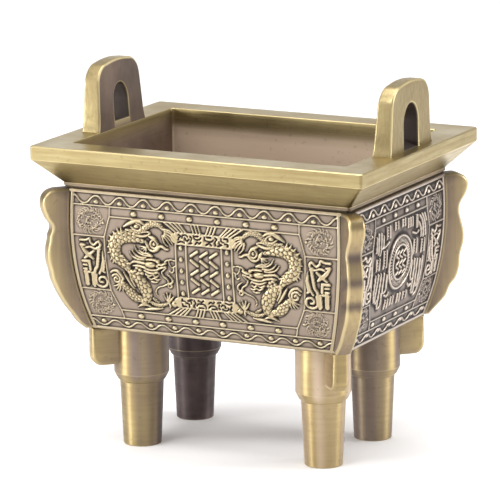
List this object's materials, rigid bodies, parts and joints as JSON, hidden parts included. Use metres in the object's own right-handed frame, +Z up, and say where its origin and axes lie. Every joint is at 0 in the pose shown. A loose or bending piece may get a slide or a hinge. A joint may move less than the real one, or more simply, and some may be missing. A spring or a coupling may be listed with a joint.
{
  "type": "square ding incense burner",
  "caption": "Rectangular footed vessel with a flat rim, two upright slotted ears, scalloped corner flanges, relief panels and round legs.",
  "frame": {"origin": "on the ground, midway between the four feet", "axes": "+X along the long side, from one ear to the other; +Y to the back; +Z up"},
  "size_m": [0.13, 0.099, 0.1365],
  "materials": {
    "vessel": "cast, darkened in the ground of the relief and rubbed bright on its edges",
    "leg_front_left": "cast and brushed, browned",
    "leg_front_right": "cast and brushed, browned",
    "leg_back_left": "cast and brushed, browned",
    "leg_back_right": "cast and brushed, browned"
  },
  "bodies": {
    "root": {"vessel": "vessel", "leg_front_left": "leg_front_left", "leg_front_right": "leg_front_right", "leg_back_left": "leg_back_left", "leg_back_right": "leg_back_right"}
  },
  "joints": []
}
